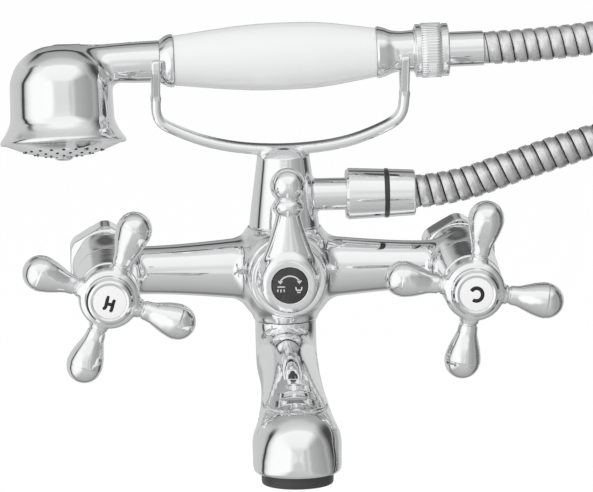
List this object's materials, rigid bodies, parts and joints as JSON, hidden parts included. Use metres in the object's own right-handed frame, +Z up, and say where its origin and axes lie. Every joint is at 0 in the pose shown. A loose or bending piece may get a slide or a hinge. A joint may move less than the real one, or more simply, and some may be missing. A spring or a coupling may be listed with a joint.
{
  "type": "bath mixer",
  "caption": "Wall-mounted bath mixer with cross handles, swivel spout, diverter lever, cradle, porcelain-grip handset and a ribbed hose.",
  "frame": {"origin": "on the wall plane, midway between the two inlet nuts", "axes": "+X to the cold inlet, +Y into the wall, +Z up"},
  "size_m": [0.5154, 0.1698, 0.4333],
  "materials": {
    "chrome": "polished chrome plate",
    "brass": "machined brass",
    "steel": "stainless steel",
    "hose_steel": "brushed steel strip",
    "rubber": "black rubber",
    "porcelain": "white glazed porcelain",
    "ceramic": "fine white ceramic",
    "index": "white enamel",
    "black": "gloss black",
    "charcoal": "satin charcoal",
    "white_plastic": "white plastic"
  },
  "bodies": {
    "body": {"mixer_body": "chrome", "diverter_housing": "chrome", "column": "chrome", "cradle": "chrome", "outlet_spigot": "brass", "check_valve": "white_plastic", "outlet_washer": "rubber", "outlet_ring": "black", "outlet_collar": "chrome", "spout_grub_screw": "steel", "shower_hose": "hose_steel", "inlet_tail_hot": "brass", "inlet_washer_hot": "rubber", "valve_seal_hot": "rubber", "headwork_hot": "brass", "fixed_disc_hot": "ceramic", "valve_shroud_hot": "chrome", "inlet_tail_cold": "brass", "inlet_washer_cold": "rubber", "valve_seal_cold": "rubber", "headwork_cold": "brass", "fixed_disc_cold": "ceramic", "valve_shroud_cold": "chrome"},
    "diverter": {"diverter_rotor": "brass", "diverter_spindle": "brass", "diverter_lever": "chrome", "lever_screw": "steel", "lever_badge": "black"},
    "spout": {"spout": "chrome", "spout_o_ring": "rubber", "aerator_ring": "charcoal", "aerator_insert": "white_plastic", "aerator_washer": "rubber"},
    "handset": {"handset_head": "chrome", "rose_plate": "chrome", "rose_screw": "chrome", "rose_gasket": "rubber", "front_ferrule": "chrome", "handset_grip": "porcelain", "grip_tube": "brass", "grip_washers": "rubber", "handset_tail": "chrome", "handset_washer": "rubber", "hose_ferrule": "chrome"},
    "knurled_nut": {"knurled_nut": "chrome"},
    "outlet_nut": {"outlet_nut": "chrome"},
    "hot_handle": {"cross_handle_hot": "chrome", "index_ring_hot": "chrome", "index_disc_hot": "index", "handle_screw_hot": "steel", "spindle_hot": "brass", "moving_disc_hot": "ceramic"},
    "hot_union_nut": {"union_nut_hot": "chrome"},
    "cold_handle": {"cross_handle_cold": "chrome", "index_ring_cold": "chrome", "index_disc_cold": "index", "handle_screw_cold": "steel", "spindle_cold": "brass", "moving_disc_cold": "ceramic"},
    "cold_union_nut": {"union_nut_cold": "chrome"}
  },
  "joints": [
    {"name": "hot_handle_turn", "type": "hinge", "parent": "body", "child": "hot_handle", "pos_m": [-0.075, 0, 0], "axis": [0, 1, 0], "range_deg": [0, 90]},
    {"name": "hot_union_nut_spin", "type": "hinge", "parent": "body", "child": "hot_union_nut", "pos_m": [-0.075, 0, 0], "axis": [0, 1, 0], "continuous": true},
    {"name": "cold_handle_turn", "type": "hinge", "parent": "body", "child": "cold_handle", "pos_m": [0.075, 0, 0], "axis": [0, 1, 0], "range_deg": [-90, 0]},
    {"name": "cold_union_nut_spin", "type": "hinge", "parent": "body", "child": "cold_union_nut", "pos_m": [0.075, 0, 0], "axis": [0, 1, 0], "continuous": true},
    {"name": "diverter_turn", "type": "hinge", "parent": "body", "child": "diverter", "pos_m": [0, -0.06, 0], "axis": [0, 1, 0], "range_deg": [-45, 45]},
    {"name": "spout_swivel", "type": "hinge", "parent": "body", "child": "spout", "pos_m": [0, -0.033, -0.02], "axis": [0, 0, 1], "range_deg": [-25, 25]},
    {"name": "handset_lift", "type": "slide", "parent": "body", "child": "handset", "axis": [0, 0, 1], "range_m": [0, 0.045], "deforming": ["shower_hose"]},
    {"name": "knurled_nut_spin", "type": "hinge", "parent": "handset", "child": "knurled_nut", "pos_m": [0.0628, -0.033, 0.09102], "axis": [0.9998, 0, 0.0218], "continuous": true},
    {"name": "outlet_nut_spin", "type": "hinge", "parent": "body", "child": "outlet_nut", "pos_m": [0.034, -0.033, 0.0308], "axis": [1, 0, 0], "continuous": true}
  ]
}
